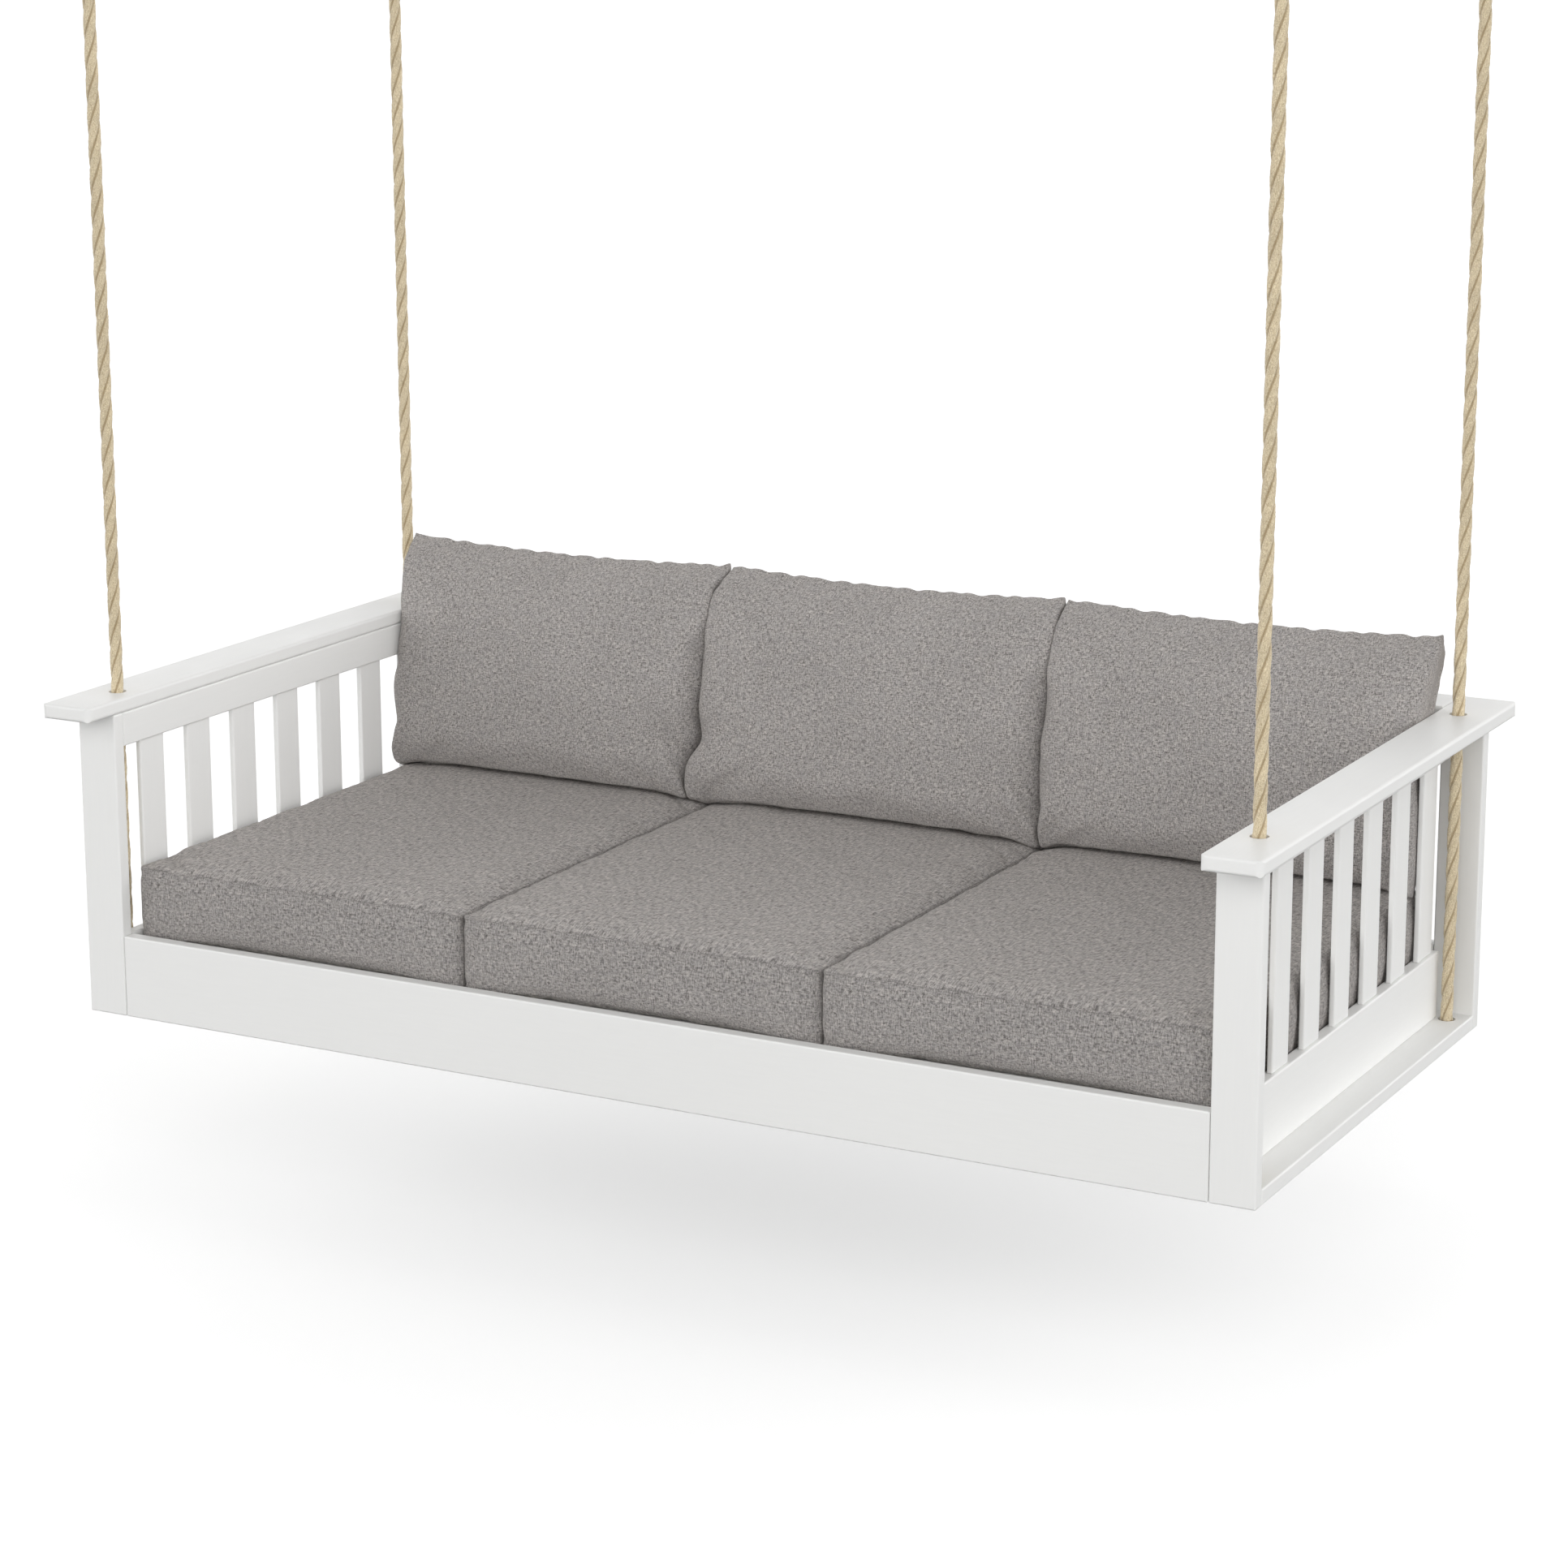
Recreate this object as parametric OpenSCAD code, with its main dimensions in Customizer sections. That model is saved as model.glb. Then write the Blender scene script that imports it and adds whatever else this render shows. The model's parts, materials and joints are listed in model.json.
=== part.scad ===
// Hanging daybed swing: a slatted lumber frame with loose cushions, carried by
// four ropes from four ceiling eyes. The origin is the centre of the four eyes,
// in the plane of the ceiling. X runs to the right, Y to the back, Z up.

/* [Frame] */
// Width across the outer faces of the legs
frame_w = 2110; // [1800:5:2400]
// Depth from the front face of the front legs to the rear face of the rear legs
frame_d = 1008; // [960:2:1060]
// Height of the legs, up to the underside of the arms
leg_h = 520; // [480:5:580]
// Width of a leg and of a base plate
leg_w = 74; // [68:1:80]
// Thickness of the legs, arms, plates and long rails
board_t = 25; // [22:1:28]
// Radius that softens the edges of every board
edge_r = 3; // [1:0.5:4]

/* [Arms] */
// How far an arm stands out past the legs, outwards
arm_out = 22; // [10:1:30]
// How far an arm reaches in front of the front leg
arm_front = 68; // [40:1:80]
// How far an arm and the back cap reach behind the rear leg
arm_rear = 74; // [40:1:80]
// Radius of the arm's corners, seen from above
arm_corner_r = 12; // [5:1:20]

/* [Rails and slats] */
// Height of the front and rear rails, and of the top of the side rails
rail_h = 140; // [120:5:160]
// Thickness of the side rails and of the rails under the arms
panel_t = 22; // [18:1:24]
// Height of the rails under the arms and under the back cap
apron_h = 57; // [45:1:70]
// Gap between the end of a side rail and the rear leg
rail_gap = 36; // [20:1:50]
// Width of an end or back slat
slat_w = 65; // [55:1:72]
// Thickness of an end or back slat
slat_t = 10; // [8:1:18]
// Slats in each end panel
end_slats = 7; // [7:1:7]
// Distance from one end slat to the next
end_pitch = 131; // [126:0.5:132]
// Front face of the legs to the middle of the first end slat
end_first = 108; // [100:1:110]
// Slats in the back
back_slat_count = 15; // [11:1:15]

/* [Seat] */
// Height of the top of the seat slats
deck_h = 126; // [115:1:130]
// Seat slats, which run from side to side
seat_slat_count = 9; // [6:1:9]
// Width of a seat slat
seat_slat_w = 92; // [80:1:92]
// Thickness of a seat slat
seat_slat_t = 20; // [18:1:24]
// Height of the bearers under the seat slats
bearer_h = 90; // [60:1:90]

/* [Cushions] */
// Width of one cushion
cushion_w = 650; // [600:1:651]
// Depth of a seat cushion
cushion_d = 874; // [820:1:880]
// Thickness of a seat cushion
cushion_t = 130; // [100:1:140]
// Front face of the legs to the front of the seat cushions
cushion_y = 38; // [30:1:45]
// Height of the top seam of a back cushion above the seat cushion
pillow_h = 408; // [350:1:430]

/* [Ropes] */
// Diameter of the rope
rope_d = 20; // [16:1:20]
// Diameter of the rope holes
rope_hole_d = 29; // [26:1:32]
// Outer face of a leg to the middle of the rope
rope_inset = 34; // [34:1:36]
// Front face of the legs to the middle of the front ropes
rope_front_y = 64; // [55:1:75]
// Distance from the front ropes to the rear ropes
rope_span = 882; // [860:1:890]
// Height of the ceiling above the underside of the frame
hang_h = 2000; // [1950:10:2400]

/* [Ceiling eyes] */
// Diameter of the threaded shank
shank_d = 12; // [10:1:14]
// Length of the shank above the ceiling
shank_l = 70; // [50:5:100]
// Diameter of the eye's wire
wire_d = 12; // [8:1:12]
// Radius of the eye, to the middle of its wire
eye_r = 28; // [28:1:34]

/* [Hidden] */
$fn = 48;
tiny = 0.01;

// Widths and heights of the frame
half_w = frame_w / 2;
inner = half_w - leg_w;
rear_y = frame_d - board_t;
arm_top = leg_h + board_t;
arm_w = leg_w + arm_out;
arm_l = arm_front + frame_d + arm_rear;
side_rail_l = rear_y - rail_gap - board_t;
apron_z = leg_h - apron_h;
slat_len = apron_z - rail_h;
// Space between a slat's face and that of its rails: the slat is in the middle
slat_set = (panel_t - slat_t) / 2;
// Space between the end of a long rail and the leg beside it
joint_gap = 1;

// Back slats and seat
back_gap = (2 * inner - back_slat_count * slat_w) / (back_slat_count + 1);
back_pitch = slat_w + back_gap;
seat_margin = 2;
seat_room = rear_y - board_t - 2 * seat_margin;
seat_pitch = (seat_room - seat_slat_w) / (seat_slat_count - 1);
bearer_z = deck_h - seat_slat_t - bearer_h;
bearer_x = [-inner + board_t / 2, -inner / 3, inner / 3, inner - board_t / 2];

// Cushions
cushion_gap = 2;
cushion_pitch = cushion_w + cushion_gap;
cushion_corner_r = 12;
seat_top = deck_h + cushion_t;
pillow_lift = 8;
pillow_w = 646;
// Bottom and top of the seam plane, as [y, z]
pillow_low = [912, seat_top + pillow_lift];
pillow_high = [950, seat_top + pillow_h];
pillow_front = 108;
pillow_back = 42;
pillow_steps = 14;

// Ropes: the frame hangs level, so each rope is straight from eye to knot
rope_r = rope_d / 2;
rope_x = half_w - rope_inset;
rope_rear_y = rope_front_y + rope_span;
neck_l = 9;
flange_r = 18;
flange_t = 5;
wire_z = hang_h - flange_t - neck_l - 2 * eye_r;
// The rope bends where it enters the arm
bend_gap = 0.5;
bend_drop = rope_r + bend_gap;

// Thimble in the rope's eye
eye_play = 0.3;
thimble_t = 2;
thimble_r = 14;
groove_r = rope_r + 0.2;
loop_r = thimble_r + thimble_t + groove_r;
loop_z = wire_z + wire_d / 2 + eye_play - thimble_r;
throat_y = 8.5;
throat_l = 58;
throat_angle = atan((loop_r - throat_y) / throat_l);
leg_l = norm([loop_r - throat_y, throat_l]);
splice_l = 120;
splice_r = 15;
splice_z = loop_z - throat_l;

// Stopper knot and its washer, partly in a recess under the base plate
recess_r = 21;
recess_d = 10;
washer_r = 20;
washer_t = 3;
washer_hole_r = 11;
knot_r = 17;
knot_h = 22;
knot_top = recess_d - washer_t;
knot_round = 8;

// Screws that hold the base plates up to the side rails
screw_r = 3;
screw_head_r = 6;
screw_head_t = 4;
screw_l = 60;
screw_y = [110, 350, 620, 880];

white = [0.93, 0.93, 0.92];
fabric = [0.58, 0.57, 0.55];
tan = [0.80, 0.69, 0.47];
steel = [0.70, 0.71, 0.72];

// Helpers ------------------------------------------------------------------

// Moves a piece from the frame's own place to its place under the ceiling
module hung() {
    translate([0, -(rope_front_y + rope_span / 2), -hang_h]) children();
}

// The same piece on the left (-1) or the right (1)
module on_side(side) {
    mirror([side < 0 ? 1 : 0, 0, 0]) children();
}

// Rectangle from the origin, with round corners
module soft_rect(w, h, r) {
    translate([r, 0]) square([w - 2 * r, h]);
    translate([0, r]) square([w, h - 2 * r]);
    for (x = [r, w - r], y = [r, h - r]) translate([x, y]) circle(r);
}

// Board from the origin, with all its edges softened, and the four edges that
// run up by another radius if one is given
module board(size, r = edge_r, up_r = 0) {
    intersection() {
        linear_extrude(size.z) soft_rect(size.x, size.y, max(r, up_r));
        translate([0, size.y, 0]) rotate([90, 0, 0])
            linear_extrude(size.y) soft_rect(size.x, size.z, r);
        rotate([90, 0, 90])
            linear_extrude(size.x) soft_rect(size.y, size.z, r);
    }
}

// Upright hole through a board of the given thickness
module upright_hole(x, y, z, t, r) {
    translate([x, y, z - 1]) cylinder(h = t + 2, r = r);
}

// End frames ---------------------------------------------------------------

module arm(side) {
    color(white) hung() on_side(side) difference() {
        translate([inner, -arm_front, leg_h])
            board([arm_w, arm_l, board_t], r = 5, up_r = arm_corner_r);
        for (y = [rope_front_y, rope_rear_y])
            upright_hole(rope_x, y, leg_h, board_t, rope_hole_d / 2);
    }
}

module leg(side, y) {
    color(white) hung() on_side(side)
        translate([inner, y, 0]) board([leg_w, board_t, leg_h]);
}

module base_plate(side) {
    color(white) hung() on_side(side) difference() {
        translate([inner, board_t, 0]) board([leg_w, rear_y - board_t, board_t]);
        for (y = [rope_front_y, rope_rear_y]) {
            upright_hole(rope_x, y, 0, board_t, rope_hole_d / 2);
            translate([rope_x, y, -1]) cylinder(h = recess_d + 1, r = recess_r);
        }
        for (y = screw_y) translate([inner + panel_t / 2, y, 0]) {
            translate([0, 0, -1]) cylinder(h = board_t + 2, r = screw_r);
            translate([0, 0, -1]) cylinder(h = screw_head_t + 1, r = screw_head_r);
        }
    }
}

module side_rail(side) {
    color(white) hung() on_side(side) difference() {
        translate([inner, board_t, board_t])
            board([panel_t, side_rail_l, rail_h - board_t]);
        for (y = screw_y) translate([inner + panel_t / 2, y, board_t - 1])
            cylinder(h = screw_l - board_t + 1, r = screw_r);
    }
}

module arm_rail(side) {
    color(white) hung() on_side(side)
        translate([inner, board_t, apron_z])
            board([panel_t, rear_y - board_t, apron_h]);
}

module end_slat(side, number) {
    color(white) hung() on_side(side)
        translate([
            inner + slat_set,
            end_first + (number - 1) * end_pitch - slat_w / 2,
            rail_h
        ])
            board([slat_t, slat_w, slat_len]);
}

module base_screws() {
    color(steel) hung()
        for (side = [-1, 1], y = screw_y)
            on_side(side) translate([inner + panel_t / 2, y, 0]) {
                cylinder(h = screw_head_t, r = screw_head_r);
                cylinder(h = screw_l, r = screw_r);
            }
}

// Long rails, back and seat ------------------------------------------------

module long_rail(y, z, t, h) {
    color(white) hung()
        translate([-inner + joint_gap, y, z])
            board([2 * (inner - joint_gap), t, h]);
}

module back_cap() {
    color(white) hung()
        translate([-inner, frame_d + arm_rear - arm_w, leg_h])
            board([2 * inner, arm_w, board_t], r = 5);
}

module back_slats() {
    color(white) hung()
        for (i = [0 : back_slat_count - 1])
            translate([
                -inner + back_gap + i * back_pitch,
                rear_y + slat_set,
                rail_h
            ])
                board([slat_w, slat_t, slat_len]);
}

module bearer(number) {
    color(white) hung()
        translate([bearer_x[number - 1] - board_t / 2, board_t, bearer_z])
            board([board_t, rear_y - board_t, bearer_h]);
}

module seat_slats() {
    color(white) hung()
        for (i = [0 : seat_slat_count - 1])
            translate([
                -inner + seat_margin,
                board_t + seat_margin + i * seat_pitch,
                deck_h - seat_slat_t
            ])
                board([2 * (inner - seat_margin), seat_slat_w, seat_slat_t]);
}

// Cushions -----------------------------------------------------------------

module seat_cushion(place) {
    color(fabric) hung()
        translate([place * cushion_pitch - cushion_w / 2, cushion_y, deck_h])
            linear_extrude(cushion_t)
                soft_rect(cushion_w, cushion_d, cushion_corner_r);
}

// Point of a back cushion's outline: t runs up the seam plane, and depth is how
// far the cushion stands out from it at the middle
function pillow_point(t, depth) =
    let (
        along = pillow_high - pillow_low,
        out = [along.y, -along.x] / norm(along)
    )
    pillow_low + t * along + depth * pow(sin(180 * t), 0.6) * out;

module back_cushion(place) {
    back = [
        for (i = [0 : pillow_steps])
            pillow_point(i / pillow_steps, pillow_back)
    ];
    front = [
        for (i = [1 : pillow_steps - 1])
            pillow_point(1 - i / pillow_steps, -pillow_front)
    ];
    color(fabric) hung()
        translate([place * cushion_pitch - pillow_w / 2, 0, 0])
            rotate([90, 0, 90])
                linear_extrude(pillow_w) polygon(concat(back, front));
}

// Ropes --------------------------------------------------------------------

// Puts a piece on the rope at one corner: side is -1 or 1
module at_rope(side, y) {
    hung() translate([side * rope_x, y, 0]) children();
}

// Ring section of the rope's eye, in the plane across X
module eye_arch() {
    rotate([0, 90, 0]) rotate([0, 0, 90])
        rotate_extrude(angle = 180) children();
}

module rope(side, y) {
    color(tan) at_rope(side, y) {
        // The bend at the arm is a ball, so the rope turns inside the hole
        translate([0, 0, arm_top]) sphere(rope_r);
        translate([0, 0, arm_top])
            cylinder(h = splice_z - splice_l - arm_top + tiny, r = rope_r);
        translate([0, 0, splice_z - splice_l])
            cylinder(h = splice_l, r1 = rope_r, r2 = splice_r);
        translate([0, 0, loop_z]) {
            eye_arch() translate([loop_r, 0]) circle(rope_r);
            for (turn = [-1, 1])
                translate([0, turn * loop_r, 0])
                    rotate([180 - turn * throat_angle, 0, 0])
                        cylinder(h = leg_l, r = rope_r);
        }
    }
}

module rope_end(side, y) {
    color(tan) at_rope(side, y) {
        translate([0, 0, knot_top])
            cylinder(h = arm_top - bend_drop - knot_top, r = rope_r);
        translate([0, 0, knot_top - knot_h]) rotate_extrude() {
            translate([0, knot_round]) square([knot_r, knot_h - knot_round]);
            square([knot_r - knot_round, knot_h]);
            translate([knot_r - knot_round, knot_round]) circle(knot_round);
        }
    }
}

module thimble(side, y) {
    color(steel) at_rope(side, y) translate([0, 0, loop_z])
        eye_arch() translate([loop_r, 0]) difference() {
            circle(groove_r + thimble_t);
            circle(groove_r);
            translate([0, -2 * groove_r]) square(4 * groove_r);
        }
}

module knot_washers() {
    for (side = [-1, 1], y = [rope_front_y, rope_rear_y])
        color(steel) at_rope(side, y) translate([0, 0, knot_top])
            difference() {
                cylinder(h = washer_t, r = washer_r);
                translate([0, 0, -1]) cylinder(h = washer_t + 2, r = washer_hole_r);
            }
}

// Screw eye: a threaded shank up through the ceiling, a flange against it, and
// an eye whose lowest wire runs along X, so the rope swings about that wire
module ceiling_eye(side, y) {
    color(steel) at_rope(side, y) {
        translate([0, 0, hang_h]) cylinder(h = shank_l, r = shank_d / 2);
        translate([0, 0, hang_h - flange_t]) cylinder(h = flange_t, r = flange_r);
        translate([0, 0, hang_h - flange_t - neck_l - tiny])
            cylinder(h = neck_l + 2 * tiny, r = wire_d / 2 + 1);
        translate([0, 0, wire_z + eye_r]) rotate([90, 0, 0])
            rotate_extrude() translate([eye_r, 0]) circle(wire_d / 2);
    }
}

// Parts --------------------------------------------------------------------

arm(-1);  // arm_left
arm(1);  // arm_right
leg(-1, 0);  // front_leg_left
leg(1, 0);  // front_leg_right
leg(-1, rear_y);  // rear_leg_left
leg(1, rear_y);  // rear_leg_right
base_plate(-1);  // base_plate_left
base_plate(1);  // base_plate_right
side_rail(-1);  // side_rail_left
side_rail(1);  // side_rail_right
arm_rail(-1);  // arm_rail_left
arm_rail(1);  // arm_rail_right
end_slat(-1, 1);  // slat_left_1
end_slat(-1, 2);  // slat_left_2
end_slat(-1, 3);  // slat_left_3
end_slat(-1, 4);  // slat_left_4
end_slat(-1, 5);  // slat_left_5
end_slat(-1, 6);  // slat_left_6
end_slat(-1, 7);  // slat_left_7
end_slat(1, 1);  // slat_right_1
end_slat(1, 2);  // slat_right_2
end_slat(1, 3);  // slat_right_3
end_slat(1, 4);  // slat_right_4
end_slat(1, 5);  // slat_right_5
end_slat(1, 6);  // slat_right_6
end_slat(1, 7);  // slat_right_7
long_rail(0, 0, board_t, rail_h);  // front_rail
long_rail(rear_y, 0, board_t, rail_h);  // rear_rail
long_rail(rear_y, apron_z, panel_t, apron_h);  // back_rail
back_cap();
back_slats();
bearer(1);  // bearer_1
bearer(2);  // bearer_2
bearer(3);  // bearer_3
bearer(4);  // bearer_4
seat_slats();
seat_cushion(-1);  // seat_cushion_left
seat_cushion(0);  // seat_cushion_middle
seat_cushion(1);  // seat_cushion_right
back_cushion(-1);  // back_cushion_left
back_cushion(0);  // back_cushion_middle
back_cushion(1);  // back_cushion_right
rope(-1, rope_front_y);  // rope_front_left
rope(1, rope_front_y);  // rope_front_right
rope(-1, rope_rear_y);  // rope_rear_left
rope(1, rope_rear_y);  // rope_rear_right
rope_end(-1, rope_front_y);  // rope_end_front_left
rope_end(1, rope_front_y);  // rope_end_front_right
rope_end(-1, rope_rear_y);  // rope_end_rear_left
rope_end(1, rope_rear_y);  // rope_end_rear_right
thimble(-1, rope_front_y);  // thimble_front_left
thimble(1, rope_front_y);  // thimble_front_right
thimble(-1, rope_rear_y);  // thimble_rear_left
thimble(1, rope_rear_y);  // thimble_rear_right
ceiling_eye(-1, rope_front_y);  // ceiling_eye_front_left
ceiling_eye(1, rope_front_y);  // ceiling_eye_front_right
ceiling_eye(-1, rope_rear_y);  // ceiling_eye_rear_left
ceiling_eye(1, rope_rear_y);  // ceiling_eye_rear_right
knot_washers();
base_screws();
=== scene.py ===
"""Looks of the hanging daybed swing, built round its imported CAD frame.

Everything is in metres, in the CAD's own frame: the origin is the centre of the four
ceiling eyes, in the plane of the ceiling. X runs to the right, Y to the back, Z up.
"""

import json
import math

import bpy
import numpy as np
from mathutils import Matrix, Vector
from mathutils.kdtree import KDTree

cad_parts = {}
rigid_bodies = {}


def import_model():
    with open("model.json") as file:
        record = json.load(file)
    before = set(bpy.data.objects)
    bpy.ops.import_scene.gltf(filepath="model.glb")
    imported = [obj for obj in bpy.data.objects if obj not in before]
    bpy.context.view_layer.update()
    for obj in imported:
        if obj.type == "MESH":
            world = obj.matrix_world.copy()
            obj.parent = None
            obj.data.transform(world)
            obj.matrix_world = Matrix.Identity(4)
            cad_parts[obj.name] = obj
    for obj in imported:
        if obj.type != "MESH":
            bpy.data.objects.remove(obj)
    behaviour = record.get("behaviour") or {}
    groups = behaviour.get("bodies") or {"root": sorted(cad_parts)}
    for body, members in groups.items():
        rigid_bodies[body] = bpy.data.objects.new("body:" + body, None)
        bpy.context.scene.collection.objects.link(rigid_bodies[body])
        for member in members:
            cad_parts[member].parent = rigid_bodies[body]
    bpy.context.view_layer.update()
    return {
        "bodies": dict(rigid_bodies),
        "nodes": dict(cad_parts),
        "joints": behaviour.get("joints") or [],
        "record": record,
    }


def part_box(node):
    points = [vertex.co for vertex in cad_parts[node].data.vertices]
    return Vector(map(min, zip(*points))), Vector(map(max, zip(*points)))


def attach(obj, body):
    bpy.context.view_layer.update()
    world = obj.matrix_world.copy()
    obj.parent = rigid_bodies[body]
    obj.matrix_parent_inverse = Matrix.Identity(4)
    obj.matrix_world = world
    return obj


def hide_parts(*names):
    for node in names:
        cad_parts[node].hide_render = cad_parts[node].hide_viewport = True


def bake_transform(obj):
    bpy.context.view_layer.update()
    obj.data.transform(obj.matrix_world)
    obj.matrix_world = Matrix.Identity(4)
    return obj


MM = 0.001
SIDES = ("left", "right")
ENDS = ("front", "rear")
PLACES = ("left", "middle", "right")

# Camera: its place, its turn to the left and its tilt down in degrees, its lens and its shift
CAMERA_AT = (3.0125, -5.6093, -0.0015)
CAMERA_YAW = 27.73
CAMERA_DOWN = 13.37
LENS = 90.68
SHIFT = (-0.0189, -0.0295)

# Floor: how far it is below the frame, its own light, and the share of light it throws back
FLOOR_DROP = 0.33
FLOOR_SIZE = 160.0
FLOOR_GLOW = 0.29
FLOOR_BOUNCE = 0.35

# Light: strength of the dome at its sides and its top, the heights between which it changes,
# how much brighter it is on the right, and one large lamp
SKY_SIDES = 2.0
SKY_TOP = 0.2
SKY_HEIGHTS = (0.3, 0.85)
SKY_RIGHT = 0.05
KEY_AT = (3.0, -4.0, 1.5)
KEY_AIM = (0, 0, -1.6)
KEY_SIZE = 3.0
KEY_POWER = 25

# Colours: linear red, green and blue, and alpha
FLOOR_WHITE = (0.98, 0.98, 0.98, 1)
LUMBER_WHITE = (0.87, 0.87, 0.857, 1)
STEEL_GREY = (0.62, 0.62, 0.63, 1)
FIBRE_DARK = (0.50, 0.385, 0.225, 1)
FIBRE_LIGHT = (0.92, 0.81, 0.59, 1)
# Painted shade for the grooves between the rope's strands
GROOVE_SHADE_BROWN = (0.30, 0.20, 0.09, 1)
YARN_DARK = (0.10, 0.093, 0.089, 1)
YARN_LIGHT = (0.63, 0.593, 0.565, 1)
YARN_COOL = (0.33, 0.32, 0.33, 1)
SHEEN_TINT = (1, 0.93, 0.88, 1)

# Rope: a strand goes once round in a length of ROPE_LAY
ROPE_D = 20 * MM
ROPE_LAY = 150 * MM
ROPE_STEP = 3 * MM
ROPE_SIDES = 60
ROPE_FUZZ = 0.22 * MM
GROOVE_DEPTH = 1.7 * MM

# Rope's eye and splice
EYE_SIDES = 36
LOOP_R = 26.2 * MM
THROAT_DROP = 58 * MM
THROAT_HALF = 8.5 * MM
THROAT_FOOT = 14 * MM
SPLICE_L = 120 * MM
SPLICE_R = 15 * MM
SPLICE_TUCK = 46 * MM

# Knot under the base plate: its core, its ring, and the drop of each of its three layers
KNOT_CORE = 5.2 * MM
KNOT_RING = 12.4 * MM
KNOT_STRAND_R = 4.2 * MM
KNOT_DROPS = (4.5 * MM, 7.5 * MM, 5.5 * MM)

# Cloth: stitches are set beside the seam, a step apart, and painted shade darkens their needle
# holes and the seam line
YARN_PITCH = 1.05 * MM
STITCH_SET = 3.2 * MM
STITCH_STEP = 4.5 * MM
STITCH_HOLE_SHADE = 0.25
SEAM_SHADE = 0.25

# Seat cushions: SEAT_LIFT is how far the front's lower edge rises in its middle, and
# SEAT_SHIFT moves both joints between cushions to the left
SIM_FRAMES = 20
PRESSURE = 4
SEAT_CELL = 9 * MM
SEAM_ROWS = (0, 3 * MM, 8 * MM, 14 * MM)
SEAT_INSET_X = 1.5 * MM
SEAT_INSET_Y = 2 * MM
SEAT_INSET_BOTTOM = 1 * MM
SEAT_INSET_TOP = 5 * MM
SEAT_CORNER_R = 11 * MM
SEAT_CROWN = 15 * MM
SEAT_BULGE = 9 * MM
SEAT_LIFT = 13 * MM
SEAT_SHIFT = -8 * MM
BOXING_CUT = 2.2

# Back cushions: joints and outer edges across, rear plane, dip of the top and of its scallops
PILLOW_CELL = 8 * MM
PILLOW_LEN = 470 * MM
PILLOW_SWELL = 10 * MM
PILLOW_OUTER = 986 * MM
PILLOW_JOINTS = (-339 * MM, 325 * MM)
PILLOW_REAR_Y = 474 * MM
PILLOW_DIP = 10 * MM
PILLOW_SCALLOP = 4.5 * MM
PILLOW_BACK_ROUND = 25 * MM
EAR_UP = 4 * MM
EAR_DOWN = -1 * MM
SEAT_GAP = 0.6 * MM
JOINT_GAP = 0.3 * MM
SCALLOP_STEP = 41 * MM
# Distance from the stitched seam that is given to a cushion without a row of stitches
NO_STITCHES = 9 * MM
# Roundness of a back cushion's front edges beside its left and its right seam
PILLOW_ROUND = {
    "left": (22 * MM, 40 * MM),
    "middle": (14 * MM, 40 * MM),
    "right": (14 * MM, 30 * MM),
}
# Side view of a back cushion, from foot to top: (y, height above the seat) in mm
PILLOW_SEAM = ((352, -8), (392, 60), (402, 180), (414, 300), (430, 421))
PILLOW_FRONT = (
    (352, -8), (318, 2), (303, 30), (299, 70), (308, 180), (343, 315), (378, 385), (430, 421)
)
PILLOW_BACK = (
    (352, -8), (410, -14), (452, -6), (472, 60), (474, 330), (462, 392), (430, 421)
)


# Meshes -------------------------------------------------------------------


def make_object(name, points, faces, uvs=None):
    """A smooth mesh object. uvs holds one (u, v) in metres for each corner of each face."""
    mesh = bpy.data.meshes.new(name)
    mesh.from_pydata([tuple(p) for p in points], [], faces)
    mesh.polygons.foreach_set("use_smooth", [True] * len(mesh.polygons))
    if uvs is not None:
        layer = mesh.uv_layers.new(name="cloth")
        layer.data.foreach_set("uv", np.asarray(uvs, np.float32).ravel())
    mesh.update()
    obj = bpy.data.objects.new(name, mesh)
    bpy.context.scene.collection.objects.link(obj)
    return obj


def get_points(obj):
    """A mesh's points, as rows of (x, y, z)."""
    co = np.empty(len(obj.data.vertices) * 3, np.float32)
    obj.data.vertices.foreach_get("co", co)
    return co.reshape(-1, 3).astype(float)


def set_points(obj, points):
    """Moves a mesh's points."""
    obj.data.vertices.foreach_set("co", np.asarray(points, np.float32).ravel())
    obj.data.update()


def get_normals(obj):
    """The direction out of the surface at each of a mesh's points."""
    no = np.empty(len(obj.data.vertices) * 3, np.float32)
    obj.data.vertices.foreach_get("normal", no)
    return no.reshape(-1, 3).astype(float)


def keep_values(obj, name, values):
    """Stores one number for each vertex, which subdivision then spreads to the new ones."""
    attribute = obj.data.attributes.new(name, "FLOAT", "POINT")
    attribute.data.foreach_set("value", np.asarray(values, np.float32))


def get_values(obj, name):
    """What keep_values stored, for each vertex that there is now."""
    values = np.empty(len(obj.data.vertices), np.float32)
    obj.data.attributes[name].data.foreach_get("value", values)
    return values.astype(float)


def bake_modifiers(obj):
    """Replaces an object's mesh with what its modifiers make of it."""
    graph = bpy.context.evaluated_depsgraph_get()
    mesh = bpy.data.meshes.new_from_object(
        obj.evaluated_get(graph), preserve_all_data_layers=True, depsgraph=graph
    )
    obj.modifiers.clear()
    obj.data = mesh
    mesh.polygons.foreach_set("use_smooth", [True] * len(mesh.polygons))


def subdivide(obj):
    """Splits each face in four, smoothly."""
    modifier = obj.modifiers.new("subdivide", "SUBSURF")
    modifier.levels = 1
    modifier.render_levels = 1
    bake_modifiers(obj)


def smooth_step(x, low, high):
    """0 up to low, 1 from high on, and a smooth rise between them."""
    t = np.clip((x - low) / (high - low), 0, 1)
    return t * t * (3 - 2 * t)


def soft_floor(z, floor, soft):
    """z kept above a floor, with the contact eased over a height of about soft."""
    return floor + soft * np.logaddexp(0, (z - floor) / soft)


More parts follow.
